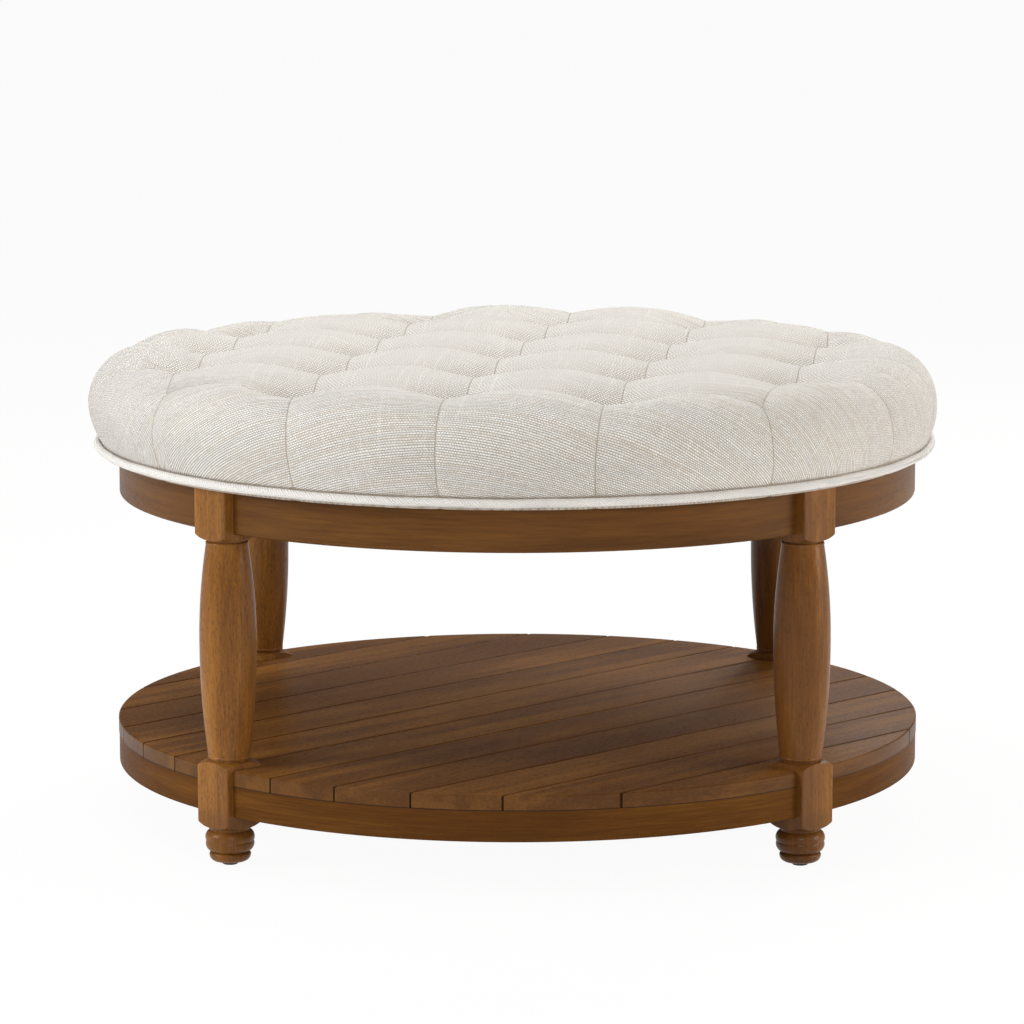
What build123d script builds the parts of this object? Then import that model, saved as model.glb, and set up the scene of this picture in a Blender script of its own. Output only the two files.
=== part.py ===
from build123d import *
from math import cos, hypot, radians, sin, sqrt
import os

# Round tufted ottoman table: an upholstered top on a wooden apron ring, four turned legs,
# and a round boarded shelf just above the floor. Millimetres, +Z up, origin on the floor
# under the middle. The front, -Y, lies between two legs.

# Running sizes of the wooden frame
deck_radius = 427.0
deck_top_height = 102.0
board_thickness = 16.0
edge_board_width = 59.5
board_gap = 1.6
board_bevel = 1.2
board_rows_each_side = 6

shelf_rail_setback = 0.5
shelf_rail_height = 32.0
shelf_rail_thickness = 22.0

apron_setback = 4.2
apron_height = 45.0
apron_bottom_height = 344.0
apron_thickness = 22.0
rail_edge_round = 2.0

# Legs: square blocks where the rings join, a barrel shaft between them and a turned foot
leg_inset = 16.5
block_width = 46.8
block_edge_round = 2.0
shoulder_height = 7.0
shoulder_bow = 1.4
shaft_neck_diameter = 39.0
shaft_end_diameter = 43.0
shaft_belly_diameter = 58.2
shaft_end_lip = 3.0
shaft_belly_height = 232.0
lower_block_bottom = 39.0
lower_block_top = 109.0
upper_block_drop = 8.5
lip_bow_share = 0.35

foot_sole_diameter = 25.0
foot_ring_diameter = 42.2
foot_ring_height = 9.6
foot_groove_diameter = 37.4
foot_groove_height = 13.8
foot_bun_diameter = 48.6
foot_bun_height = 25.0
foot_neck_diameter = 40.0
foot_neck_height = 36.5
foot_bow_share = 0.22

glide_diameter = 16.5
glide_height = 3.8
glide_edge_round = 1.4
glide_nail_diameter = 2.6
glide_nail_length = 14.0

# Joinery
fit_gap = 0.2
cut_overrun = 5.0
dowel_diameter = 8.0
dowel_length = 38.0
dowel_in_leg = 18.0
apron_dowel_spread = 21.0
brace_thickness = 18.0
brace_gap = 1.5
upper_brace_height = 38.0
lower_brace_height = 27.0
bolt_diameter = 8.0
bolt_in_leg = 26.0
bolt_tail = 14.0
washer_diameter = 22.0
washer_thickness = 1.6
nut_across_flats = 13.0
nut_height = 6.5
batten_width = 40.0
batten_thickness = 20.0
batten_brace_gap = 13.8
deck_screw_diameter = 3.5
deck_screw_length = 30.0
seat_screw_diameter = 4.5
seat_screw_length = 46.0
seat_screw_spread = 60.0
screw_head_depth = 2.4
screw_tip_length = 4.0

# Upholstery
seat_board_overhang = 12.7
seat_board_thickness = 15.0
cover_thickness = 2.0
hem_width = 50.0
pad_overhang = 15.5
pad_belly_height = 45.0
pad_crest_height = 106.0
pad_waist_bow = 4.0
foam_height = 44.0
foam_edge_round = 24.0
welt_diameter = 8.8
welt_height = 5.5
tuft_edge_distance = 97.7
tuft_lines = 5
tuft_turn = -9.2
tuft_offset = 0.0
seam_depth = 15.0
pillow_flat = 9.0
seam_side_bow = 4.0
dimple_depth = 36.0
dimple_radius = 34.0
twine_diameter = 2.0
twine_hole_diameter = 6.0
twine_disc_diameter = 16.0
twine_disc_thickness = 1.6
disc_pocket_depth = 2.4
dust_cover_gap = 13.5
dust_cover_thickness = 0.9

# Heights and radii that follow from the sizes above
board_pitch = (deck_radius - edge_board_width) / (board_rows_each_side - 1)
shelf_rail_radius = deck_radius - shelf_rail_setback
apron_radius = deck_radius - apron_setback
leg_circle_radius = deck_radius - leg_inset
seat_board_radius = apron_radius + seat_board_overhang
pad_radius = seat_board_radius + pad_overhang
deck_bottom_height = deck_top_height - board_thickness
shelf_rail_bottom = deck_bottom_height - shelf_rail_height
apron_top_height = apron_bottom_height + apron_height
apron_middle_radius = apron_radius - apron_thickness / 2
apron_inner_radius = apron_radius - apron_thickness
shelf_rail_middle_radius = shelf_rail_radius - shelf_rail_thickness / 2
shelf_rail_inner_radius = shelf_rail_radius - shelf_rail_thickness
apron_middle_height = apron_bottom_height + apron_height / 2
upper_block_bottom = apron_bottom_height - upper_block_drop
shelf_rail_middle_height = shelf_rail_bottom + shelf_rail_height / 2
block_half = block_width / 2
block_half_diagonal = hypot(block_half, block_half)
leg_inner_radius = leg_circle_radius - block_half
brace_outer_radius = leg_inner_radius - brace_gap
brace_inner_radius = brace_outer_radius - brace_thickness
brace_half_length = sqrt(shelf_rail_inner_radius**2 - brace_inner_radius**2)
batten_offset = brace_half_length + batten_brace_gap + batten_width / 2
dust_cover_radius = brace_inner_radius - dust_cover_gap
notch_width = block_width + 2 * fit_gap
seat_board_bottom = apron_top_height + cover_thickness
seat_board_top = seat_board_bottom + seat_board_thickness
skirt_radius = seat_board_radius + cover_thickness + fit_gap
welt_radius = skirt_radius + fit_gap + welt_diameter / 2
welt_centre_height = seat_board_bottom + welt_height
waist_height = welt_centre_height + welt_diameter / 2
pad_belly = seat_board_bottom + pad_belly_height
pad_crest = seat_board_bottom + pad_crest_height
foam_top = seat_board_top + foam_height
tuft_bottom = pad_crest - dimple_depth
seam_reach = pad_radius + cut_overrun
last_line = (tuft_lines - 1) / 2
tuft_pitch = (pad_radius - tuft_edge_distance) / hypot(last_line, 1)
seam_half_width = tuft_pitch / 2 - pillow_flat

first_leg_angle = 45
corner_names = ["back_right", "back_left", "front_left", "front_right"]
leg_angles = {
    name: first_leg_angle + index * 360 / len(corner_names)
    for index, name in enumerate(corner_names)
}
grain_angle = first_leg_angle

os.makedirs("parts", exist_ok=True)


def save(part, label):
    """Writes one finished piece as its own file."""
    part.label = label
    export_step(part, f"parts/{label}.step")


def side_planes(ring_radius, heights):
    """Planes on both side faces of each leg, facing out of it, where dowels cross."""
    planes = []
    for angle in leg_angles.values():
        out = Vector(cos(radians(angle)), sin(radians(angle)), 0)
        for side in (-1, 1):
            along = Vector(-sin(radians(angle)), cos(radians(angle)), 0) * side
            for height in heights:
                place = out * ring_radius + along * block_half + Vector(0, 0, height)
                planes.append(Plane(origin=place, x_dir=out, z_dir=along))
    return planes


def dowel_shift():
    """How far a dowel's middle lies outside the leg's face."""
    return dowel_length / 2 - dowel_in_leg


apron_dowel_heights = [
    apron_middle_height - apron_dowel_spread / 2,
    apron_middle_height + apron_dowel_spread / 2,
]
shelf_dowel_heights = [shelf_rail_middle_height]


# Dowels: beech pins glued half into a rail's end and half into a leg
def make_dowels(label, ring_radius, heights):
    with BuildPart() as dowels:
        with Locations(*side_planes(ring_radius, heights)):
            with Locations((0, 0, dowel_shift())):
                Cylinder(dowel_diameter / 2, dowel_length)
    save(dowels.part, label)


make_dowels("apron_dowels", apron_middle_radius, apron_dowel_heights)
make_dowels("shelf_dowels", shelf_rail_middle_radius, shelf_dowel_heights)


# Legs: one turned piece each, standing square to its own radius
def shoulder(bottom, top, round_bottom, round_top):
    """The turned outline that rounds a square block's corners towards its neck."""
    neck = shaft_neck_diameter / 2
    full = block_half_diagonal + fit_gap
    with BuildSketch(Plane.XZ) as outline:
        with BuildLine():
            Line((0, bottom), (0, top))
            if round_top:
                Line((0, top), (neck, top))
                SagittaArc((neck, top), (full, top - shoulder_height), shoulder_bow)
                upper = (full, top - shoulder_height)
            else:
                Line((0, top), (full, top))
                upper = (full, top)
            if round_bottom:
                Line((0, bottom), (neck, bottom))
                SagittaArc((full, bottom + shoulder_height), (neck, bottom), shoulder_bow)
                lower = (full, bottom + shoulder_height)
            else:
                Line((0, bottom), (full, bottom))
                lower = (full, bottom)
            Line(lower, upper)
        make_face()
    return outline.sketch


def square_block(bottom, top, round_bottom, round_top):
    """A square block whose ends are turned where they meet the round parts."""
    with BuildPart() as block:
        with Locations((0, 0, (bottom + top) / 2)):
            Box(block_width, block_width, top - bottom)
        fillet(block.edges().filter_by(Axis.Z), block_edge_round)
        with BuildPart(mode=Mode.PRIVATE) as turned:
            add(shoulder(bottom, top, round_bottom, round_top))
            revolve(axis=Axis.Z)
        add(turned.part, mode=Mode.INTERSECT)
    return block.part


def bow(start, end, share):
    """An outward arc between two outline points; its rise is a share of its chord."""
    chord = hypot(end[0] - start[0], end[1] - start[1])
    return SagittaArc(start, end, -share * chord)


with BuildPart() as leg:
    # turned foot, up into the lower block
    with BuildSketch(Plane.XZ):
        with BuildLine():
            sole = (foot_sole_diameter / 2, glide_height)
            ring = (foot_ring_diameter / 2, foot_ring_height)
            groove = (foot_groove_diameter / 2, foot_groove_height)
            bun = (foot_bun_diameter / 2, foot_bun_height)
            neck = (foot_neck_diameter / 2, foot_neck_height)
            neck_end = (foot_neck_diameter / 2, lower_block_bottom + cut_overrun)
            Line((0, glide_height), sole)
            bow(sole, ring, foot_bow_share)
            bow(ring, groove, foot_bow_share)
            bow(groove, bun, foot_bow_share)
            bow(bun, neck, foot_bow_share)
            Polyline(neck, neck_end, (0, neck_end[1]), (0, glide_height))
        make_face()
    revolve(axis=Axis.Z)
    # barrel shaft between the two blocks
    with BuildSketch(Plane.XZ):
        with BuildLine():
            neck_radius = shaft_neck_diameter / 2
            end_radius = shaft_end_diameter / 2
            shaft_bottom = lower_block_top + shaft_end_lip
            shaft_top = upper_block_bottom - shaft_end_lip
            low = (end_radius, shaft_bottom + shaft_end_lip / 2)
            belly = (shaft_belly_diameter / 2, shaft_belly_height)
            high = (end_radius, shaft_top - shaft_end_lip / 2)
            Polyline(
                (0, lower_block_top - shoulder_height),
                (neck_radius, lower_block_top - shoulder_height),
                (neck_radius, shaft_bottom - shaft_end_lip / 2),
            )
            bow((neck_radius, shaft_bottom - shaft_end_lip / 2), low, lip_bow_share)
            TangentArc(belly, low, tangent=(0, -1))
            TangentArc(belly, high, tangent=(0, 1))
            bow(high, (neck_radius, shaft_top + shaft_end_lip / 2), lip_bow_share)
            Polyline(
                (neck_radius, shaft_top + shaft_end_lip / 2),
                (neck_radius, upper_block_bottom + shoulder_height),
                (0, upper_block_bottom + shoulder_height),
                (0, lower_block_top - shoulder_height),
            )
        make_face()
    revolve(axis=Axis.Z)
    add(square_block(lower_block_bottom, lower_block_top, True, True))
    add(square_block(upper_block_bottom, apron_top_height, True, False))
    # dowel holes in both side faces, a bolt hole from the inner face, a nail hole below
    for ring_radius, heights in (
        (apron_middle_radius, apron_dowel_heights),
        (shelf_rail_middle_radius, shelf_dowel_heights),
    ):
        reach = ring_radius - leg_circle_radius
        for height in heights:
            for side in (-1, 1):
                face = Plane(
                    origin=(reach, side * block_half, height),
                    x_dir=(1, 0, 0),
                    z_dir=(0, side, 0),
                )
                with Locations(face):
                    with Locations((0, 0, dowel_shift())):
                        Cylinder(
                            dowel_diameter / 2 + fit_gap,
                            dowel_length + 2 * fit_gap,
                            mode=Mode.SUBTRACT,
                        )
    for height in (apron_middle_height, shelf_rail_middle_height):
        inner_face = Plane(origin=(-block_half, 0, height), x_dir=(0, 0, 1), z_dir=(-1, 0, 0))
        with Locations(inner_face):
            Hole(bolt_diameter / 2 + fit_gap, bolt_in_leg + fit_gap)
    sole_face = Plane(origin=(0, 0, glide_height), z_dir=(0, 0, -1))
    with Locations(sole_face):
        Hole(glide_nail_diameter / 2 + fit_gap, glide_nail_length + fit_gap)

# Glides: black plastic buttons nailed under the feet
with BuildPart() as glide:
    Cylinder(glide_diameter / 2, glide_height, align=(Align.CENTER, Align.CENTER, Align.MIN))
    fillet(glide.edges().group_by(Axis.Z)[0], glide_edge_round)
    with Locations((0, 0, glide_height)):
        Cylinder(
            glide_nail_diameter / 2,
            glide_nail_length,
            align=(Align.CENTER, Align.CENTER, Align.MIN),
        )

for name, angle in leg_angles.items():
    with BuildPart() as placed_leg:
        with PolarLocations(leg_circle_radius, 1, start_angle=angle):
            add(leg.part)
    save(placed_leg.part, f"{name}_leg")
    with BuildPart() as placed_glide:
        with PolarLocations(leg_circle_radius, 1, start_angle=angle):
            add(glide.part)
    save(placed_glide.part, f"{name}_glide")


# Rails: curved lengths of each ring, butted against the sides of the leg blocks
def make_rails(ring_name, outer, thickness, bottom, height, dowel_heights):
    with BuildSketch() as ring:
        Circle(outer)
        Circle(outer - thickness, mode=Mode.SUBTRACT)
        for angle in (leg_angles["back_right"], leg_angles["back_left"]):
            Rectangle(2 * deck_radius, notch_width, rotation=angle, mode=Mode.SUBTRACT)
    sides = {
        "front": ring.faces().sort_by(Axis.Y)[0],
        "back": ring.faces().sort_by(Axis.Y)[-1],
        "left": ring.faces().sort_by(Axis.X)[0],
        "right": ring.faces().sort_by(Axis.X)[-1],
    }
    for side, face in sides.items():
        with BuildPart() as rail:
            with BuildSketch(Plane.XY.offset(bottom)):
                add(face)
            extrude(amount=height)
            lower_edges = rail.edges().group_by(Axis.Z)[0]
            fillet(lower_edges.sort_by(SortBy.LENGTH)[-1], rail_edge_round)
            with Locations(*side_planes(outer - thickness / 2, dowel_heights)):
                with Locations((0, 0, dowel_shift())):
                    Cylinder(
                        dowel_diameter / 2 + fit_gap,
                        dowel_length + 2 * fit_gap,
                        mode=Mode.SUBTRACT,
                    )
        save(rail.part, f"{side}_{ring_name}_rail")


make_rails(
    "apron", apron_radius, apron_thickness, apron_bottom_height, apron_height, apron_dowel_heights
)
make_rails(
    "shelf",
    shelf_rail_radius,
    shelf_rail_thickness,
    shelf_rail_bottom,
    shelf_rail_height,
    shelf_dowel_heights,
)


def screw(diameter, length):
    """A countersunk wood screw pointing up from its head at the origin."""
    with BuildPart() as made:
        with Locations((0, 0, (length - screw_tip_length) / 2)):
            Cylinder(diameter / 2, length - screw_tip_length)
        with Locations((0, 0, length - screw_tip_length / 2)):
            Cone(diameter / 2, diameter / 8, screw_tip_length)
        with Locations((0, 0, screw_head_depth / 2)):
            Cone(diameter, diameter / 2, screw_head_depth)
    return made.part


def screw_hole(diameter, length):
    """The clearance hole for that screw, as a solid to cut away."""
    with BuildPart() as made:
        with Locations((0, 0, (length + fit_gap) / 2)):
            Cylinder(diameter / 2 + fit_gap, length + fit_gap)
        with Locations((0, 0, screw_head_depth / 2)):
            Cone(diameter + fit_gap, diameter / 2 + fit_gap, screw_head_depth)
    return made.part


# Corner braces: hardwood blocks behind each leg that the hanger bolts pull against
seat_screw_places = [
    (radius * cos(radians(angle)) - side * seat_screw_spread * sin(radians(angle)),
     radius * sin(radians(angle)) + side * seat_screw_spread * cos(radians(angle)))
    for radius in ((brace_inner_radius + brace_outer_radius) / 2,)
    for angle in leg_angles.values()
    for side in (-1, 1)
]
seat_screw_base = apron_top_height - upper_brace_height


def make_braces(ring_name, inner_radius, top, height, bolt_height, with_seat_screws):
    for name, angle in leg_angles.items():
        with BuildPart() as brace:
            with BuildSketch(Plane.XY.offset(top - height)):
                Circle(inner_radius - fit_gap)
                with PolarLocations((brace_inner_radius + brace_outer_radius) / 2, 1, angle):
                    Rectangle(brace_thickness, 2 * deck_radius, mode=Mode.INTERSECT)
            extrude(amount=height)
            out = Vector(cos(radians(angle)), sin(radians(angle)), 0)
            inner_face = Plane(
                origin=out * brace_inner_radius + Vector(0, 0, bolt_height),
                x_dir=(0, 0, 1),
                z_dir=-out,
            )
            with Locations(inner_face):
                Hole(bolt_diameter / 2 + fit_gap, brace_thickness)
            if with_seat_screws:
                with Locations(*[(x, y, seat_screw_base) for x, y in seat_screw_places]):
                    add(screw_hole(seat_screw_diameter, seat_screw_length), mode=Mode.SUBTRACT)
        save(brace.part, f"{name}_{ring_name}_brace")


make_braces(
    "apron", apron_inner_radius, apron_top_height, upper_brace_height, apron_middle_height, True
)
make_braces(
    "shelf",
    shelf_rail_inner_radius,
    deck_bottom_height,
    lower_brace_height,
    shelf_rail_middle_height,
    False,
)

# Hanger bolts, washers and nuts: one set per leg in each ring
bolt_outer_end = leg_inner_radius + bolt_in_leg
bolt_inner_end = brace_inner_radius - bolt_tail
bolt_length = bolt_outer_end - bolt_inner_end


def bolt_axes(radius):
    """Planes on every bolt's axis at one radius, facing the middle of the table."""
    planes = []
    for angle in leg_angles.values():
        out = Vector(cos(radians(angle)), sin(radians(angle)), 0)
        for height in (apron_middle_height, shelf_rail_middle_height):
            place = out * radius + Vector(0, 0, height)
            planes.append(Plane(origin=place, x_dir=(0, 0, 1), z_dir=-out))
    return planes


with BuildPart() as hanger_bolts:
    with Locations(*bolt_axes((bolt_outer_end + bolt_inner_end) / 2)):
        Cylinder(bolt_diameter / 2, bolt_length)
save(hanger_bolts.part, "hanger_bolts")

with BuildPart() as washers:
    with Locations(*bolt_axes(brace_inner_radius - washer_thickness / 2)):
        Cylinder(washer_diameter / 2, washer_thickness)
        Cylinder(bolt_diameter / 2 + fit_gap, washer_thickness, mode=Mode.SUBTRACT)
save(washers.part, "bolt_washers")

with BuildPart() as nuts:
    for plane in bolt_axes(brace_inner_radius - washer_thickness):
        with BuildSketch(plane):
            RegularPolygon(nut_across_flats / 2, 6, major_radius=False)
            Circle(bolt_diameter / 2 + fit_gap / 2, mode=Mode.SUBTRACT)
        extrude(amount=nut_height)
save(nuts.part, "hex_nuts")

# Shelf battens: two cross pieces under the boards, square to the grain
batten_screw_shifts = [
    (row + 0.5) * board_pitch for row in range(1 - board_rows_each_side, board_rows_each_side - 1)
]
batten_screw_base = deck_bottom_height - batten_thickness


def batten_screw_places(offset):
    """Screw centres along one batten, one under the middle of each board it crosses."""
    turn = radians(grain_angle)
    return [
        (offset * cos(turn) - shift * sin(turn), offset * sin(turn) + shift * cos(turn))
        for shift in batten_screw_shifts
    ]


deck_screw_places = batten_screw_places(batten_offset) + batten_screw_places(-batten_offset)
for label, offset in (("rear_shelf_batten", batten_offset), ("front_shelf_batten", -batten_offset)):
    with BuildPart() as batten:
        with BuildSketch(Plane.XY.offset(batten_screw_base)):
            Circle(shelf_rail_inner_radius - fit_gap)
            with PolarLocations(offset, 1, grain_angle):
                Rectangle(batten_width, 2 * deck_radius, mode=Mode.INTERSECT)
        extrude(amount=batten_thickness)
        with Locations(*[(x, y, batten_screw_base) for x, y in batten_screw_places(offset)]):
            add(screw_hole(deck_screw_diameter, deck_screw_length), mode=Mode.SUBTRACT)
    save(batten.part, label)

with BuildPart() as deck_screws:
    with Locations(*[(x, y, batten_screw_base) for x, y in deck_screw_places]):
        add(screw(deck_screw_diameter, deck_screw_length))
save(deck_screws.part, "shelf_board_screws")

with BuildPart() as seat_screws:
    with Locations(*[(x, y, seat_screw_base) for x, y in seat_screw_places]):
        add(screw(seat_screw_diameter, seat_screw_length))
save(seat_screws.part, "seat_board_screws")

# Shelf boards: parallel boards trimmed to a circle, cut out round the leg blocks
for row in range(-board_rows_each_side, board_rows_each_side):
    centre_shift = (row + 0.5) * board_pitch
    with BuildPart() as board:
        with BuildSketch(Plane.XY.offset(deck_bottom_height)):
            Circle(deck_radius)
            with PolarLocations(centre_shift, 1, grain_angle + 90):
                Rectangle(board_pitch - board_gap, 2 * deck_radius, mode=Mode.INTERSECT)
        extrude(amount=board_thickness)
        chamfer(board.faces().sort_by(Axis.Z)[-1].edges(), board_bevel)
        for angle in leg_angles.values():
            with PolarLocations(leg_circle_radius, 1, angle):
                with Locations((0, 0, deck_bottom_height + board_thickness / 2)):
                    Box(
                        notch_width,
                        notch_width,
                        board_thickness + cut_overrun,
                        mode=Mode.SUBTRACT,
                    )
        with Locations(*[(x, y, batten_screw_base) for x, y in deck_screw_places]):
            add(screw_hole(deck_screw_diameter, deck_screw_length), mode=Mode.SUBTRACT)
    save(board.part, f"shelf_board_{row + board_rows_each_side + 1:02d}")

# Tuft lattice: a square grid of pulled-down points, turned a little from the frame
line_steps = [index - last_line for index in range(tuft_lines)]
tuft_places = []
for column in line_steps:
    for line in line_steps:
        turn = radians(tuft_turn)
        place_x = tuft_offset + (column * cos(turn) - line * sin(turn)) * tuft_pitch
        place_y = (column * sin(turn) + line * cos(turn)) * tuft_pitch
        if abs(column) + abs(line) < 2 * last_line:
            tuft_places.append((place_x, place_y))

# Foam pad: a soft-edged slab on the seat board, with a hole under every tuft
foam_radius = skirt_radius - cover_thickness
with BuildPart() as foam_pad:
    with BuildSketch(Plane.XY.offset(seat_board_top)):
        Circle(foam_radius)
    extrude(amount=foam_height)
    fillet(foam_pad.edges().group_by(Axis.Z)[-1], foam_edge_round)
    hollow_form = foam_pad.part
    with Locations(*[(x, y, seat_board_top) for x, y in tuft_places]):
        Cylinder(
            twine_diameter / 2 + fit_gap,
            foam_height,
            align=(Align.CENTER, Align.CENTER, Align.MIN),
            mode=Mode.SUBTRACT,
        )
save(foam_pad.part, "foam_pad")

# Cushion cover: sewn linen quilted over its fibre filling, crowned, drawn in at the welt,
# pulled down along a grid of seams and at every tuft, and turned in under the seat board
with BuildPart() as cushion_cover:
    with BuildSketch(Plane.XZ):
        waist = (skirt_radius, waist_height)
        belly = (pad_radius, pad_belly)
        crest_edge = (pad_radius - (pad_crest - pad_belly), pad_crest)
        with BuildLine():
            Polyline((0, pad_crest), (0, apron_top_height), (waist[0], apron_top_height), waist)
            SagittaArc(waist, belly, -pad_waist_bow)
            TangentArc(belly, crest_edge, tangent=(0, 1))
            Line(crest_edge, (0, pad_crest))
        make_face()
    revolve(axis=Axis.Z)
    # seams: two crossing sets of grooves with pillowed sides
    for line in line_steps:
        for across in (0, 90):
            turn = radians(tuft_turn + across)
            shift = line * tuft_pitch
            base = Plane(
                origin=(
                    tuft_offset - shift * sin(turn),
                    shift * cos(turn),
                    pad_crest,
                ),
                x_dir=(-sin(turn), cos(turn), 0),
                z_dir=(cos(turn), sin(turn), 0),
            )
            with BuildSketch(base.offset(-2 * seam_reach)):
                with BuildLine():
                    left = (-seam_half_width, 0)
                    right = (seam_half_width, 0)
                    SagittaArc(left, (0, -seam_depth), seam_side_bow)
                    SagittaArc((0, -seam_depth), right, seam_side_bow)
                    Polyline(right, (seam_half_width, cut_overrun))
                    Polyline((seam_half_width, cut_overrun), (-seam_half_width, cut_overrun))
                    Polyline((-seam_half_width, cut_overrun), left)
                make_face()
            extrude(amount=4 * seam_reach, mode=Mode.SUBTRACT)
    # dimples where the twines pull the cover down
    with Locations(*[(x, y, tuft_bottom) for x, y in tuft_places]):
        Cone(
            twine_diameter,
            dimple_radius,
            dimple_depth,
            align=(Align.CENTER, Align.CENTER, Align.MIN),
            mode=Mode.SUBTRACT,
        )
    # the room inside for the seat board and the foam, open below inside the hem
    add(hollow_form, mode=Mode.SUBTRACT)
    with BuildSketch(Plane.XY.offset(seat_board_bottom)):
        Circle(seat_board_radius)
    extrude(amount=seat_board_thickness, mode=Mode.SUBTRACT)
    with BuildSketch(Plane.XY.offset(apron_top_height)):
        Circle(skirt_radius - hem_width)
    extrude(amount=cover_thickness, mode=Mode.SUBTRACT)
save(cushion_cover.part, "cushion_cover")

# Welt: a fabric-covered cord round the foot of the cushion
with BuildPart() as welt:
    with BuildSketch(Plane.XZ):
        with Locations((welt_radius, welt_centre_height)):
            Circle(welt_diameter / 2)
    revolve(axis=Axis.Z)
save(welt.part, "welt_cord")

# Seat board: plywood disc that carries the foam, drilled for the tufting twines
with BuildPart() as seat_board:
    with BuildSketch(Plane.XY.offset(seat_board_bottom)):
        Circle(seat_board_radius)
    extrude(amount=seat_board_thickness)
    with Locations(*[(x, y, seat_board_bottom) for x, y in tuft_places]):
        Cylinder(
            twine_hole_diameter / 2,
            seat_board_thickness,
            align=(Align.CENTER, Align.CENTER, Align.MIN),
            mode=Mode.SUBTRACT,
        )
        Cylinder(
            twine_disc_diameter / 2 + fit_gap,
            disc_pocket_depth,
            align=(Align.CENTER, Align.CENTER, Align.MIN),
            mode=Mode.SUBTRACT,
        )
    with Locations(*[(x, y, seat_screw_base) for x, y in seat_screw_places]):
        add(screw_hole(seat_screw_diameter, seat_screw_length), mode=Mode.SUBTRACT)
save(seat_board.part, "seat_board")

# Tufting twines: each holds one point of the cover down and ends in a disc under the board
with BuildPart() as twines:
    disc_bottom = seat_board_bottom + disc_pocket_depth - twine_disc_thickness
    with Locations(*[(x, y, disc_bottom) for x, y in tuft_places]):
        Cylinder(
            twine_diameter / 2,
            foam_top - disc_bottom,
            align=(Align.CENTER, Align.CENTER, Align.MIN),
        )
        Cylinder(
            twine_disc_diameter / 2,
            twine_disc_thickness,
            align=(Align.CENTER, Align.CENTER, Align.MIN),
        )
save(twines.part, "tufting_twines")

# Dust cover: black cloth tacked under the seat board inside the apron
with BuildPart() as dust_cover:
    with BuildSketch(Plane.XY.offset(seat_board_bottom - dust_cover_thickness)):
        Circle(dust_cover_radius)
    extrude(amount=dust_cover_thickness)
save(dust_cover.part, "dust_cover")
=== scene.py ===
import bpy
import math
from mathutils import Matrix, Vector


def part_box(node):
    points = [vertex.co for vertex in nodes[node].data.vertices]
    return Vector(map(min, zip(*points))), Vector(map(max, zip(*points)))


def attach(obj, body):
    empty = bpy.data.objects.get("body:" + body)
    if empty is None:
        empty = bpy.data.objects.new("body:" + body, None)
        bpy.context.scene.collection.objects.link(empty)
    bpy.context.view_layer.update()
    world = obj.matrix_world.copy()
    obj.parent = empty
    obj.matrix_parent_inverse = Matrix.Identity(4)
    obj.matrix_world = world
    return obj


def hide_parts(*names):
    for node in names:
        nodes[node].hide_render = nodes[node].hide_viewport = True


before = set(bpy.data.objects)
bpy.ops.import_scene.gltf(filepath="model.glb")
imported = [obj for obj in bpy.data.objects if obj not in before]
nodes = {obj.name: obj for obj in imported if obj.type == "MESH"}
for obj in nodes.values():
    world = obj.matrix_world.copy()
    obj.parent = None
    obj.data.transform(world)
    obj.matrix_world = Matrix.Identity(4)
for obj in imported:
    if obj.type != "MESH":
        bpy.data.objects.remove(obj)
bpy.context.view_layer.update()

# Studio: a pale floor that reads as white, with a square softbox at the left, a warmer one at
# the right, and others above, in front and behind. The camera stands well back on a long lens,
# a little above the cushion.
WHITE = (1.0, 1.0, 1.0, 1.0)
FLOOR_SIZE = 60.0
FLOOR_COLOUR = (0.94, 0.94, 0.94, 1.0)
FLOOR_SHADOW_SHARE = 0.05
ROOM_COLOUR = (1.0, 0.99, 0.97, 1.0)
ROOM_LEVEL = 0.18
PLAIN_LAMP = (1.0, 0.99, 0.97)
COOL_LAMP = (0.98, 0.99, 1.0)
WARM_LAMP = (1.0, 0.96, 0.90)
WARMER_LAMP = (1.0, 0.95, 0.88)
CAMERA_DISTANCE = 5.10
CAMERA_HEIGHT = 1.157
CAMERA_TURN = math.radians(0.5)
CAMERA_PITCH = math.radians(9.37)
CAMERA_YAW = math.radians(0.055)
CAMERA_ROLL = math.radians(0.05)
SENSOR_WIDTH = 36.0
FOCAL_LENGTH = 170.2
FURTHEST_SEEN = 200.0

scene = bpy.context.scene
scene.view_settings.view_transform = "Standard"
bpy.ops.object.select_all(action="DESELECT")


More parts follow.
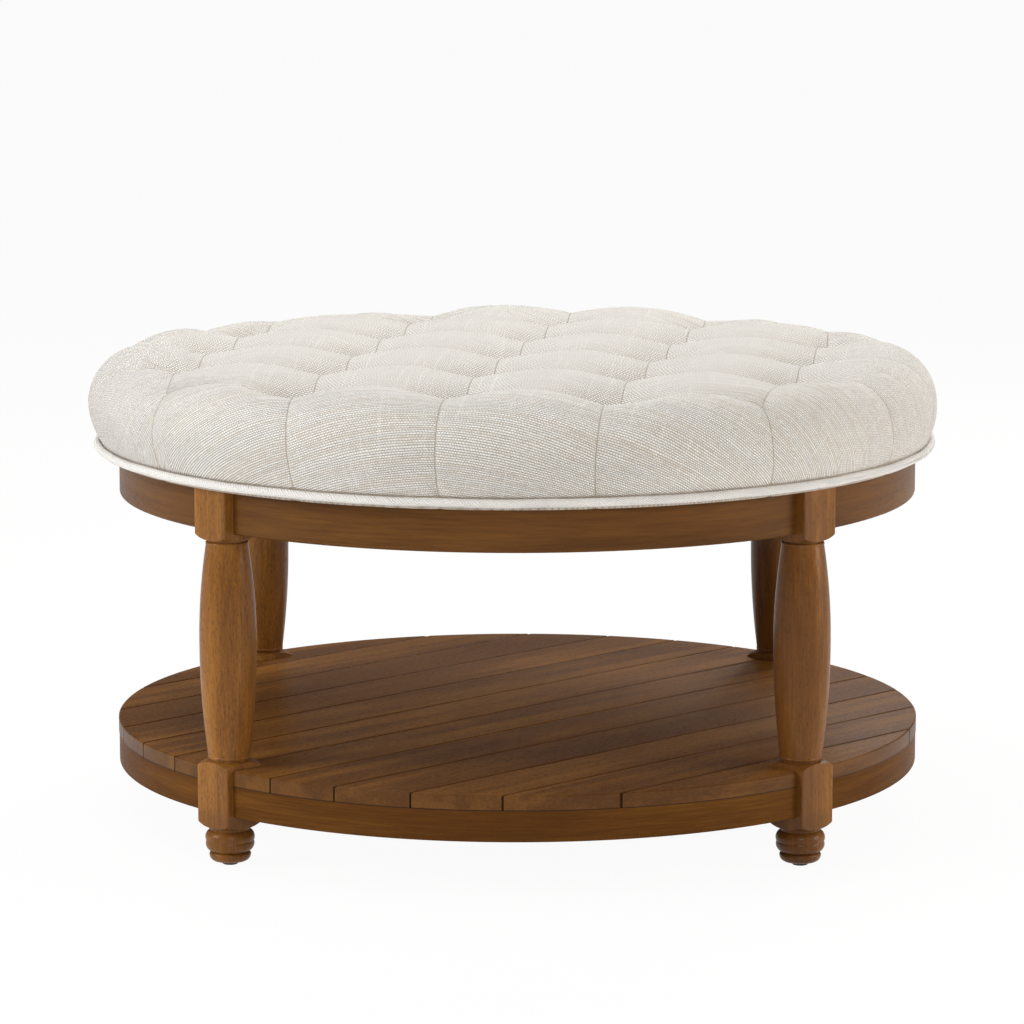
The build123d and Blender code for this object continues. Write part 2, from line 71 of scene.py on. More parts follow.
class Value:
    """One number, colour or vector in a material, so that shader sums read as plain sums."""

    def __init__(self, shading, socket):
        self.shading = shading
        self.socket = socket

    def apply(self, operation, *others):
        return self.shading.node("ShaderNodeMath", {"operation": operation}, (self, *others))

    def __add__(self, other):
        return self.apply("ADD", other)

    def __radd__(self, other):
        return self.apply("ADD", other)

    def __sub__(self, other):
        return self.apply("SUBTRACT", other)

    def __rsub__(self, other):
        return self.shading.node("ShaderNodeMath", {"operation": "SUBTRACT"}, (other, self))

    def __mul__(self, other):
        return self.apply("MULTIPLY", other)

    def __rmul__(self, other):
        return self.apply("MULTIPLY", other)

    def __truediv__(self, other):
        return self.apply("DIVIDE", other)

    def __pow__(self, other):
        return self.apply("POWER", other)

    def __abs__(self):
        return self.apply("ABSOLUTE")

    def floor(self):
        return self.apply("FLOOR")

    def root(self):
        return self.apply("SQRT")

    def sine(self):
        return self.apply("SINE")

    def wave(self):
        """Swings between 0 and 1 with the sine of this value."""
        return self.sine() * 0.5 + 0.5

    def at_most(self, other):
        return self.apply("MINIMUM", other)

    def at_least(self, other):
        return self.apply("MAXIMUM", other)

    def above(self, other):
        return self.apply("GREATER_THAN", other)

    def step(self, start, end):
        """0 below start, 1 above end, and a smooth climb between them."""
        settings = {"interpolation_type": "SMOOTHSTEP"}
        return self.shading.node("ShaderNodeMapRange", settings, (self, start, end, 0.0, 1.0))

    def blend(self, low, high):
        """A colour between low and high, by this value."""
        # a Mix node takes its colours at inputs 6 and 7 and gives one at output 2
        settings = {"data_type": "RGBA"}
        return self.shading.node("ShaderNodeMix", settings, {0: self, 6: low, 7: high}, 2)

    def part(self, axis):
        return self.shading.node("ShaderNodeSeparateXYZ", {}, (self,), axis)


class Shading:
    """The nodes of a material or of the world, each added by one method."""

    def __init__(self, tree):
        self.tree = tree

    def node(self, kind, settings, inputs, output=0):
        """Adds a node, sets or links its inputs, and gives one of its outputs."""
        made = self.tree.nodes.new(kind)
        for name, setting in settings.items():
            setattr(made, name, setting)
        if not isinstance(inputs, dict):
            inputs = dict(enumerate(inputs))
        for title, value in inputs.items():
            if isinstance(value, Value):
                self.tree.links.new(value.socket, made.inputs[title])
            else:
                made.inputs[title].default_value = value
        return Value(self, made.outputs[output])

    def show(self, surface, output):
        """Sends a mixed shader to the named output node."""
        self.tree.links.new(surface.socket, self.tree.nodes[output].inputs["Surface"])


class Finish(Shading):
    """A material with one surface shader; fixed numbers are set on the shader's own sockets."""

    def __init__(self, name, **fixed):
        self.material = bpy.data.materials.new(name)
        self.material.use_nodes = True
        super().__init__(self.material.node_tree)
        self.shader = self.tree.nodes["Principled BSDF"]
        for title, number in fixed.items():
            self.shader.inputs[title.replace("_", " ")].default_value = number

    def feed(self, **values):
        for title, value in values.items():
            self.tree.links.new(value.socket, self.shader.inputs[title.replace("_", " ")])

    def place(self):
        return self.node("ShaderNodeTexCoord", {}, {}, "Object")

    def vector(self, x, y, z):
        return self.node("ShaderNodeCombineXYZ", {}, (x, y, z))

    def noise(self, at, scale, detail=3.0, roughness=0.55):
        inputs = {"Vector": at, "Scale": scale, "Detail": detail, "Roughness": roughness}
        return self.node("ShaderNodeTexNoise", {}, inputs)

    def random(self, number):
        """A fixed random number for each whole number."""
        return self.node("ShaderNodeTexWhiteNoise", {"noise_dimensions": "1D"}, {"W": number})

    def dull(self, by, low, spread):
        """Sets the roughness, from low upwards, by a value from 0 to 1."""
        self.feed(Roughness=low + by * spread)

    def relief(self, height, depth):
        """Bends the surface as if height, from 0 to 1, stood depth metres proud."""
        inputs = {"Strength": 1.0, "Distance": depth, "Height": height}
        self.feed(Normal=self.node("ShaderNodeBump", {}, inputs))


def white_to_camera(finish, lit_share):
    """Shows as white to the camera and in gloss, and keeps a share of the real light."""
    to_camera = finish.node("ShaderNodeLightPath", {}, {}, "Is Camera Ray")
    in_gloss = finish.node("ShaderNodeLightPath", {}, {}, "Is Glossy Ray")
    through_glass = finish.node("ShaderNodeLightPath", {}, {}, "Is Transmission Ray")
    seen = to_camera.at_least(in_gloss).at_least(through_glass)
    lit = Value(finish, finish.shader.outputs[0])
    glow = finish.node("ShaderNodeEmission", {}, {"Color": WHITE})
    mixed = finish.node("ShaderNodeMixShader", {}, (seen * (1.0 - lit_share), lit, glow))
    finish.show(mixed, "Material Output")


bpy.ops.mesh.primitive_plane_add(size=FLOOR_SIZE)
floor = bpy.context.active_object
floor.name = "studio_floor"
floor_finish = Finish("studio_floor", Base_Color=FLOOR_COLOUR, Roughness=0.9)
white_to_camera(floor_finish, FLOOR_SHADOW_SHARE)
floor.data.materials.append(floor_finish.material)

world = bpy.data.worlds.new("studio_light")
scene.world = world
world.use_nodes = True
room = Shading(world.node_tree)
background = world.node_tree.nodes["Background"]
background.inputs["Color"].default_value = ROOM_COLOUR
background.inputs["Strength"].default_value = ROOM_LEVEL
room_light = Value(room, background.outputs[0])
white_sky = room.node("ShaderNodeBackground", {}, {"Color": WHITE})
to_camera = room.node("ShaderNodeLightPath", {}, {}, "Is Camera Ray")
room.show(room.node("ShaderNodeMixShader", {}, (to_camera, room_light, white_sky)), "World Output")


def softbox(name, place, aim_height, size, power, colour):
    """A square studio lamp that faces a point above the middle of the floor."""
    bpy.ops.object.light_add(type="AREA", location=place)
    lamp = bpy.context.active_object
    lamp.name = name
    lamp.data.shape = "SQUARE"
    lamp.data.size = size
    lamp.data.energy = power
    lamp.data.color = colour
    fall = place[2] - aim_height
    tilt = math.atan2(math.hypot(place[0], place[1]), fall)
    lamp.rotation_euler = (tilt, 0.0, math.atan2(-place[1], -place[0]) - math.pi / 2)


softbox("key_light", (-3.2, -1.3, 1.75), aim_height=0.3, size=1.4, power=68.0, colour=PLAIN_LAMP)
softbox("fill_light", (3.3, -0.7, 1.1), aim_height=0.3, size=1.6, power=54.0, colour=WARM_LAMP)
softbox("top_light", (-0.6, 0.1, 2.9), aim_height=0.4, size=1.8, power=42.0, colour=COOL_LAMP)
softbox("front_light", (0.4, -4.4, 1.9), aim_height=0.3, size=1.6, power=46.0, colour=WARMER_LAMP)
softbox("rear_light", (1.1, 2.4, 2.1), aim_height=0.1, size=1.2, power=48.0, colour=WARM_LAMP)

bpy.ops.object.camera_add(
    location=(
        CAMERA_DISTANCE * math.sin(CAMERA_TURN),
        -CAMERA_DISTANCE * math.cos(CAMERA_TURN),
        CAMERA_HEIGHT,
    ),
    rotation=(math.pi / 2 - CAMERA_PITCH, CAMERA_ROLL, CAMERA_TURN + CAMERA_YAW),
)
camera = bpy.context.active_object
camera.data.sensor_width = SENSOR_WIDTH
camera.data.lens = FOCAL_LENGTH
camera.data.clip_end = FURTHEST_SEEN
scene.camera = camera

# Legs: one turned hardwood piece each, square where the two rings join it. The brown stain
# is wiped on and lacquered satin, so pores read darker; the turned feet, in the shelf's shadow,
# get painted shade. Each is cut from another length, and the right-hand pair is coloured darker.
WOOD_LIGHT = (0.375, 0.155, 0.026, 1.0)
WOOD_DARK = (0.150, 0.054, 0.009, 1.0)
WOOD_PORE = (0.042, 0.019, 0.008, 1.0)
WOOD_ROUGHNESS = 0.36
PORE_DEPTH = 0.00012
PORE_STAIN = 0.52
PORE_DULLNESS = 0.20
FIBRE_DULLNESS = 0.08
DRIFT_SHARE = 0.50
RING_SHARE = 0.26
FIBRE_SHARE = 0.60
SHADE_DROP = 0.20
SHADE_START = 0.15
SHADE_END = 0.95
RING_WANDER = 9.0
RING_TURN = 26.0
RING_CONTRAST = 1.6
LEG_GRAIN_STEP = 3.7
LEG_TINT = 0.12
RIGHT_LEG_DROP = 0.18
RIGHT_LEG_DARKENING = 0.08
FOOT_PAINTED_SHADE = 0.28
FOOT_TOP = 0.050
FOOT_SHADE_END = 0.066


def stained_wood(finish, along, across, through, tint, soak_and_shade=0.0):
    """Brown stain over fine straight grain. Tint shifts a board lighter or darker, and the soak,
    from 0 to 1, darkens towards the pore colour: stain the wood has drunk, and on some parts painted
    shade."""

    def grain(lengthwise, crosswise, detail=3.0, roughness=0.55):
        """Noise drawn out along the grain, with its scales per metre."""
        at = finish.vector(along * lengthwise, across * crosswise, through * crosswise)
        return finish.noise(at, scale=1.0, detail=detail, roughness=roughness)

    drift = grain(lengthwise=4.5, crosswise=15.0)
    rings = grain(lengthwise=3.0, crosswise=38.0, detail=2.0, roughness=0.5)
    bands = (rings * RING_WANDER + across * RING_TURN).wave() ** RING_CONTRAST
    pores = grain(lengthwise=170.0, crosswise=1200.0, detail=2.0, roughness=0.6)
    pores = pores.step(start=0.50, end=0.68)
    fibre = grain(lengthwise=22.0, crosswise=420.0, roughness=0.6)
    shade = drift * DRIFT_SHARE + bands * RING_SHARE + fibre * FIBRE_SHARE + tint - SHADE_DROP
    colour = shade.step(SHADE_START, SHADE_END).blend(WOOD_DARK, WOOD_LIGHT)
    colour = (pores * PORE_STAIN).at_least(soak_and_shade).blend(colour, WOOD_PORE)
    finish.feed(Base_Color=colour)
    finish.feed(Roughness=WOOD_ROUGHNESS + pores * PORE_DULLNESS + fibre * FIBRE_DULLNESS)
    finish.relief(fibre * 0.5 + (1.0 - pores) * 0.5, PORE_DEPTH)


def dress(finish, *names):
    """Gives CAD nodes a finish in place of their packed one."""
    for name in names:
        mesh = nodes[name].data
        mesh.materials.clear()
        mesh.materials.append(finish.material)


corners = ["front_left", "front_right", "back_left", "back_right"]
leg_finish = Finish("turned_leg_wood", Specular_IOR_Level=0.14, Coat_Weight=0.14, Coat_Roughness=0.14)
spot = leg_finish.place()
right_side = spot.part("X").above(0.0)
leg_number = right_side + spot.part("Y").above(0.0) * 2.0
# painted shade on the feet, where the shelf shades them
above_foot_shade = spot.part("Z").step(FOOT_TOP, FOOT_SHADE_END)
stained_wood(
    leg_finish,
    along=spot.part("Z") + leg_number * LEG_GRAIN_STEP,
    across=spot.part("X"),
    through=spot.part("Y"),
    tint=LEG_TINT - right_side * RIGHT_LEG_DROP,
    soak_and_shade=(right_side * RIGHT_LEG_DARKENING).at_least((1.0 - above_foot_shade) * FOOT_PAINTED_SHADE),
)
dress(leg_finish, *[f"{corner}_leg" for corner in corners])

# Glides: small black plastic buttons, moulded round a nail that is driven into the foot.
# The sole is scuffed to a slightly greyer, rougher face.
GLIDE_BLACK = (0.012, 0.012, 0.013, 1.0)
GLIDE_SCUFFED = (0.035, 0.034, 0.033, 1.0)
SCUFF_SHARE = 0.6
SCUFF_DEPTH = 0.00005
glide_finish = Finish("glide_plastic", Specular_IOR_Level=0.4)
grit = glide_finish.noise(glide_finish.place(), scale=900.0, detail=2.0)
glide_finish.feed(Base_Color=(grit * SCUFF_SHARE).blend(GLIDE_BLACK, GLIDE_SCUFFED))
glide_finish.dull(grit, low=0.42, spread=0.25)
glide_finish.relief(grit, SCUFF_DEPTH)
dress(glide_finish, *[f"{corner}_glide" for corner in corners])

# Rails: four bent lengths in each ring, butted to the legs' sides and stained with them.
# The grain follows the bend, so it is drawn along the circle.
BEND_RADIUS = 0.42
RAIL_TINT = -0.06
# the aprons' extra darkness is part stain, part painted shade for the cushion's overhang
APRON_SOAK_AND_SHADE = 0.58
APRON_GLOSS = 0.10
SHELF_RAIL_SOAK = 0.50
SHELF_RAIL_GLOSS = 0.02
LACQUER_SHARE = 0.3
sides = ["front", "back", "left", "right"]


def radius_of(x, y):
    """How far out from the middle a point stands."""
    return (x * x + y * y).root()


def angle_of(x, y):
    """The angle of a point round the middle, in radians."""
    return y.apply("ARCTAN2", x)


def bent_wood(name, soak_and_shade, gloss):
    """Stained wood with its grain bent round the middle of the table."""
    lacquer = gloss * LACQUER_SHARE
    finish = Finish(name, Specular_IOR_Level=gloss, Coat_Weight=lacquer, Coat_Roughness=0.15)
    spot = finish.place()
    x = spot.part("X")
    y = spot.part("Y")
    along = angle_of(x, y) * BEND_RADIUS
    stained_wood(finish, along, across=spot.part("Z"), through=radius_of(x, y), tint=RAIL_TINT, soak_and_shade=soak_and_shade)
    return finish


apron_finish = bent_wood("apron_rail_wood", APRON_SOAK_AND_SHADE, APRON_GLOSS)
dress(apron_finish, *[f"{side}_apron_rail" for side in sides])
shelf_rail_finish = bent_wood("shelf_rail_wood", SHELF_RAIL_SOAK, SHELF_RAIL_GLOSS)
dress(shelf_rail_finish, *[f"{side}_shelf_rail" for side in sides])

# Shelf boards: parallel boards with eased top edges, screwed to the battens from below.
# Each is cut from another length, so its grain and depth of stain differ from the next.
BOARD_PITCH = 0.0735
RIM_MARGIN = 0.0006
BOARD_SOAK = 0.06
RIM_SOAK = 0.50
BOARD_TINT_SPREAD = 0.10
BOARD_LACQUER = 0.10
BOARD_GRAIN_STEP = 7.0
BOARD_CUT_STEP = 3.0
GROOVE_START = 0.0007
GROOVE_END = 0.0026
RIM_GROOVE_DROP = 0.0014
SHADOW_LINE_START = 0.0006
SHADOW_LINE_END = 0.0018
deck_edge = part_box("right_shelf_rail")[1][0] - RIM_MARGIN
board_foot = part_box("shelf_board_06")[0][2]
board_finish = Finish("shelf_board_wood", Specular_IOR_Level=0.10, Coat_Roughness=0.22)
spot = board_finish.place()
x = spot.part("X")
y = spot.part("Y")
along = (x + y) * math.sqrt(0.5)
across = (y - x) * math.sqrt(0.5)
board = (across / BOARD_PITCH).floor()
chance = board_finish.random(board + 0.5)
joint_gap = (0.5 - abs(across / BOARD_PITCH - board - 0.5)) * BOARD_PITCH
rim = radius_of(x, y).above(deck_edge)
# a painted shadow line along the foot of the deck's rim, where the boards sit on the rail
rim_shadow_line = rim * (1.0 - (spot.part("Z") - board_foot).step(SHADOW_LINE_START, SHADOW_LINE_END))
joint_and_shadow_line = 1.0 - joint_gap.step(GROOVE_START, GROOVE_END - rim * RIM_GROOVE_DROP)
# the dark joints between boards, joined by the painted shadow line
joint_and_shadow_line = joint_and_shadow_line.at_least(rim_shadow_line)
stained_wood(
    board_finish,
    along=along + chance * BOARD_GRAIN_STEP,
    across=across + chance * BOARD_CUT_STEP,
    through=spot.part("Z"),
    tint=(chance - 0.5) * BOARD_TINT_SPREAD,
    soak_and_shade=(rim * RIM_SOAK + BOARD_SOAK).at_least(joint_and_shadow_line),
)
board_finish.feed(Coat_Weight=(1.0 - joint_and_shadow_line) * BOARD_LACQUER)
dress(board_finish, *[name for name in nodes if name.startswith("shelf_board_") and name[-1].isdigit()])

# Battens and corner braces: hidden frame timber, sawn square and given one thin coat of the
# same stain. The battens carry the boards, and the braces draw each leg into its corner.
FRAME_TINT = 0.20
FRAME_GRAIN_SHARE = 0.7
hidden_finish = Finish("frame_timber")
spot = hidden_finish.place()
along = (spot.part("Y") - spot.part("X")) * FRAME_GRAIN_SHARE
stained_wood(hidden_finish, along, across=spot.part("Z"), through=spot.part("X"), tint=FRAME_TINT)
dress(hidden_finish, "rear_shelf_batten", "front_shelf_batten")
dress(hidden_finish, *[f"{corner}_{ring}_brace" for corner in corners for ring in ("apron", "shelf")])

# Fasteners: zinc-plated hanger bolts, washers, nuts and wood screws, with the dull,
# slightly streaked grey of cheap plating.
ZINC_DULL = (0.42, 0.43, 0.45, 1.0)
ZINC_BRIGHT = (0.66, 0.67, 0.68, 1.0)
ZINC_DEPTH = 0.00003
zinc_finish = Finish("zinc_plate", Metallic=1.0)
streak = zinc_finish.noise(zinc_finish.place(), scale=420.0)
zinc_finish.feed(Base_Color=streak.blend(ZINC_DULL, ZINC_BRIGHT))
zinc_finish.dull(streak, low=0.30, spread=0.25)
zinc_finish.relief(streak, ZINC_DEPTH)
dress(zinc_finish, "hanger_bolts", "bolt_washers", "hex_nuts", "shelf_board_screws", "seat_board_screws")

# Dowels: raw beech pins, glued across the joints between the rail ends and the leg blocks.
# They are pale, with short darker rays.
BEECH_RAY = (0.42, 0.27, 0.15, 1.0)
BEECH_PALE = (0.60, 0.43, 0.27, 1.0)
dowel_finish = Finish("beech_dowel")
ray = dowel_finish.noise(dowel_finish.place(), scale=700.0, detail=2.0)
dowel_finish.feed(Base_Color=ray.blend(BEECH_RAY, BEECH_PALE))
dowel_finish.dull(ray, low=0.6, spread=0.1)
dress(dowel_finish, "apron_dowels", "shelf_dowels")

# Seat board: raw birch plywood, seen only from below round the dust cloth. Its edge shows
# the plies as pale and brown layers.
PLY_COUNT = 9.0
PLY_SHADE = 0.3
PLY_GRAIN = (6.0, 160.0, 30.0)
BIRCH_DARK = (0.46, 0.31, 0.17, 1.0)
BIRCH_PALE = (0.62, 0.45, 0.28, 1.0)
GLUE_BROWN = (0.30, 0.17, 0.08, 1.0)
PLY_DEPTH = 0.0001
board_low, board_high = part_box("seat_board")
board_height = board_high[2] - board_low[2]
ply_finish = Finish("birch_plywood")
spot = ply_finish.place()
ply = ((spot.part("Z") - board_low[2]) / board_height * PLY_COUNT * math.pi).wave()
streak_at = [spot.part(axis) * scale for axis, scale in zip("XYZ", PLY_GRAIN)]
streak = ply_finish.noise(ply_finish.vector(*streak_at), scale=1.0)
birch = streak.blend(BIRCH_DARK, BIRCH_PALE)
ply_finish.feed(Base_Color=(ply.step(start=0.4, end=0.6) * PLY_SHADE).blend(birch, GLUE_BROWN))
ply_finish.dull(streak, low=0.62, spread=0.15)
ply_finish.relief(streak, PLY_DEPTH)
dress(ply_finish, "seat_board")

# Foam and twines: inside the cushion. The foam is cut from a block, so it is open-celled,
# and each twine is twisted waxed flax that ends in a small disc under the seat board.
FOAM_CELL = (0.60, 0.52, 0.33, 1.0)
FOAM_PALE = (0.80, 0.74, 0.56, 1.0)
FOAM_DEPTH = 0.0004
TWINE_DARK = (0.46, 0.39, 0.27, 1.0)
TWINE_PALE = (0.70, 0.62, 0.48, 1.0)
TWINE_TURN_ALONG = 2200.0
TWINE_TURN_ACROSS = 900.0
foam_finish = Finish("cut_foam", Roughness=0.95)
cells = foam_finish.noise(foam_finish.place(), scale=1500.0, detail=2.0)
foam_finish.feed(Base_Color=cells.blend(FOAM_CELL, FOAM_PALE))
foam_finish.relief(cells, FOAM_DEPTH)
dress(foam_finish, "foam_pad")
twine_finish = Finish("waxed_twine")
spot = twine_finish.place()
strand = (spot.part("Z") * TWINE_TURN_ALONG + spot.part("X") * TWINE_TURN_ACROSS).wave()
twine_finish.feed(Base_Color=strand.blend(TWINE_DARK, TWINE_PALE))
twine_finish.dull(strand, low=0.55, spread=0.15)
dress(twine_finish, "tufting_twines")

# Dust cloth: black spun-bonded cloth tacked under the seat board, with its dimpled press.
# It hangs a little slack in the middle and puckers between its tacks.
DUST_STEPS = 56
DUST_SAG = 0.0022
DUST_SAG_POWER = 4
DUST_PUCKER = 0.0005
DUST_PUCKER_POWER = 6
DUST_TACKS = 44
DUST_THICKNESS = 0.0006
DUST_BLACK = (0.008, 0.008, 0.009, 1.0)
DUST_GREY = (0.030, 0.030, 0.032, 1.0)
DIMPLE_TURN = 2600.0
DIMPLE_DEPTH = 0.0002


def disc_place(u, v):
    """Where a point of a square, from -1 to 1 each way, lies once it is rounded to a disc."""
    return u * math.sqrt(1.0 - v * v / 2.0), v * math.sqrt(1.0 - u * u / 2.0)


dust_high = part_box("dust_cover")[1]
bpy.ops.mesh.primitive_grid_add(x_subdivisions=DUST_STEPS, y_subdivisions=DUST_STEPS, size=2.0)
dust_cloth = bpy.context.active_object
dust_cloth.name = "slack_dust_cloth"
for vertex in dust_cloth.data.vertices:
    x, y = disc_place(vertex.co.x, vertex.co.y)
    share = math.hypot(x, y)
    tack_wave = 1.0 + math.sin(math.atan2(y, x) * DUST_TACKS)
    pucker = DUST_PUCKER * tack_wave * share**DUST_PUCKER_POWER
    sag = DUST_SAG * (1.0 - share**DUST_SAG_POWER)
    height = dust_high[2] - DUST_THICKNESS - sag - pucker
    vertex.co = (x * dust_high[0], y * dust_high[0], height)
thickness = dust_cloth.modifiers.new("thickness", "SOLIDIFY")
thickness.thickness = DUST_THICKNESS
thickness.offset = 0.0
bpy.ops.object.modifier_apply(modifier=thickness.name)
bpy.ops.object.shade_smooth()
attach(dust_cloth, "root")
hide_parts("dust_cover")
cloth_finish = Finish("black_dust_cloth", Specular_IOR_Level=0.3)
spot = cloth_finish.place()
dimples = (spot.part("X") * DIMPLE_TURN).sine() * (spot.part("Y") * DIMPLE_TURN).sine()
fluff = cloth_finish.noise(spot, scale=500.0)
cloth_finish.feed(Base_Color=fluff.blend(DUST_BLACK, DUST_GREY))
cloth_finish.dull(fluff, low=0.8, spread=0.15)
cloth_finish.relief(dimples * 0.5 + fluff * 0.5, DIMPLE_DEPTH)
dust_cloth.data.materials.append(cloth_finish.material)

# Cushion: squares of unbleached linen sewn edge to edge, stuffed over foam and pulled down at
# every tuft. The seams run on over the edge to the welt, where the cover is drawn in and turned
# under the seat board.
TUFT_PITCH = 0.158
TUFT_TURN = math.radians(-9.2)
LAST_TUFT = 2
HALF_SQUARE = 0.5
PAD_RADIUS = 0.4505
PAD_LEAN = 0.0050
BELLY_HEIGHT = 0.4360
CREST_HEIGHT = 0.4985
CREST_TILT = 0.0070
CROWN_DROP = 0.0025
WAIST_RADIUS = 0.4385
WAIST_HEIGHT = 0.3990
WAIST_LEAN = 0.0025
LEAN_RISE = 0.04
TUFT_DEPTH = 0.033
TUFT_POINT = 0.004
TUFT_SPREAD = 0.010
SEAM_DEPTH = 0.0090
SIDE_SEAM_SHARE = 0.35
SIDE_FADE = 2.0
WELT_FADE = 4.0
SIDE_SPREAD = 0.25
CORNER_DRAW = 0.030
SHEET_STEPS = 150
edge_round = CREST_HEIGHT - BELLY_HEIGHT
flat_radius = PAD_RADIUS - edge_round
round_length = edge_round * math.pi / 2
waist_drop = BELLY_HEIGHT - WAIST_HEIGHT
waist_draw = PAD_RADIUS - WAIST_RADIUS
sheet_length = flat_radius + round_length + math.hypot(waist_drop, waist_draw)


def within_one(share):
    """The nearest number from 0 to 1."""
    return max(0.0, min(1.0, share))


def shell(length):
    """Radius, height and outward slope of the stuffed form at a length from its middle."""
    if length <= flat_radius:
        share = length / flat_radius
        return length, CREST_HEIGHT - CROWN_DROP * share**2, 0.0
    if length <= flat_radius + round_length:
        turn = (length - flat_radius) / edge_round
        drop = CROWN_DROP * math.cos(turn)
        radius = flat_radius + edge_round * math.sin(turn)
        return radius, BELLY_HEIGHT + edge_round * math.cos(turn) - drop, turn
    share = (length - flat_radius - round_length) / (sheet_length - flat_radius - round_length)
    turn = math.pi / 2 + share * math.atan2(2.0 * waist_draw, waist_drop)
    return PAD_RADIUS - waist_draw * share**2, BELLY_HEIGHT - waist_drop * share, turn


def quilt_place(length, angle):
    """Where a point lies on the tufting grid, in squares from the middle tuft."""
    radius = shell(length)[0]
    reach = radius + SIDE_SPREAD * (length - radius)
    x = reach * math.cos(angle)
    y = reach * math.sin(angle)
    column = x * math.cos(TUFT_TURN) + y * math.sin(TUFT_TURN)
    row = y * math.cos(TUFT_TURN) - x * math.sin(TUFT_TURN)
    corner = within_one(min(abs(column), abs(row)) / TUFT_PITCH - 1.0)
    grow = 1.0 + CORNER_DRAW * corner * corner * (3.0 - 2.0 * corner)
    return column * grow / TUFT_PITCH, row * grow / TUFT_PITCH


def seam_gap(column, row):
    """Distance to the nearest seam, in squares. Past a corner of the grid the two outer
    seams run on as one."""
    far = max(abs(column), abs(row))
    near = min(abs(column), abs(row))
    if far <= LAST_TUFT:
        return min(abs(column - round(column)), abs(row - round(row)))
    corner = (far - near) / math.sqrt(2)
    if near >= LAST_TUFT:
        return corner
    edge = far - LAST_TUFT
    beside = abs(near - min(round(near), LAST_TUFT - 1))
    return min(beside, corner, edge)


def tuft_gap(column, row):
    """Distance to the nearest tuft, in squares; the grid's four corners have none."""
    nearest_column = max(-LAST_TUFT, min(LAST_TUFT, round(column)))
    nearest_row = max(-LAST_TUFT, min(LAST_TUFT, round(row)))
    if abs(nearest_column) + abs(nearest_row) == 2 * LAST_TUFT:
        return LAST_TUFT
    return math.hypot(column - nearest_column, row - nearest_row)


def fullness(column, row):
    """1 on the crown of a square, 0 on its seams, and an arch between them."""
    far = max(abs(column), abs(row))
    near = min(abs(column), abs(row))
    if far <= LAST_TUFT:
        return abs(math.sin(math.pi * column) * math.sin(math.pi * row))
    beside = min(HALF_SQUARE, abs(near - min(round(near), LAST_TUFT - 1)))
    corner = min(HALF_SQUARE, (far - near) / math.sqrt(2))
    edge = min(HALF_SQUARE, far - LAST_TUFT)
    return math.sin(math.pi * beside) * math.sin(math.pi * corner) * math.sin(math.pi * edge)


def pull(column, row, length):
    """How far seams and twines pull the cover in, in metres."""
    over_edge = max(0.0, length - flat_radius) / (sheet_length - flat_radius)
    seam = SEAM_DEPTH * (1.0 - fullness(column, row))
    seam *= 1.0 - (1.0 - SIDE_SEAM_SHARE) * min(1.0, SIDE_FADE * over_edge)
    seam *= min(1.0, WELT_FADE * (1.0 - over_edge))
    away = tuft_gap(column, row)
    hollow = TUFT_DEPTH * (0.5 + 0.5 * math.cos(math.pi * min(1.0, away / HALF_SQUARE)))
    return seam + hollow + TUFT_POINT * math.exp(-away * TUFT_PITCH / TUFT_SPREAD)


bpy.ops.mesh.primitive_grid_add(x_subdivisions=SHEET_STEPS, y_subdivisions=SHEET_STEPS, size=2.0)
cushion = bpy.context.active_object
cushion.name = "tufted_cushion"
sheet = cushion.data
sheet_places = []
for vertex in sheet.vertices:
    x, y = disc_place(vertex.co.x, vertex.co.y)
    length = math.hypot(x, y) * sheet_length
    angle = math.atan2(y, x)
    column, row = quilt_place(length, angle)
    radius, height, turn = shell(length)
    depth = pull(column, row, length)
    radius -= depth * math.sin(turn)
    height -= depth * math.cos(turn)
    height -= CREST_TILT * y * within_one((height - BELLY_HEIGHT) / LEAN_RISE)
    lean = WAIST_LEAN + (PAD_LEAN - WAIST_LEAN) * within_one((height - WAIST_HEIGHT) / LEAN_RISE)
    vertex.co = (radius * math.cos(angle) - lean, radius * math.sin(angle), height)
    sheet_places.append((column, row, length, angle))

# two maps for the finish: places in grid squares for the seams, and lengths of cloth for the weave
seam_map = sheet.uv_layers.new(name="seams")
weave_map = sheet.uv_layers.new(name="weave")
for loop in sheet.loops:
    column, row, length, angle = sheet_places[loop.vertex_index]
    seam_map.data[loop.index].uv = (column, row)
    spread = angle - TUFT_TURN
    weave_map.data[loop.index].uv = (length * math.cos(spread), length * math.sin(spread))

# the stuffing: a little pressure fills the cover out, held at its tufts, seams and welt
STUFFING_FRAMES = 14
STUFFING_CAP = 0.009
SEAM_HOLD = 0.9
SEAM_HOLD_SPREAD = 0.006
TUFT_HOLD = 1.8
TUFT_HOLD_SPREAD = 0.008
WELT_HOLD_LENGTH = 0.02


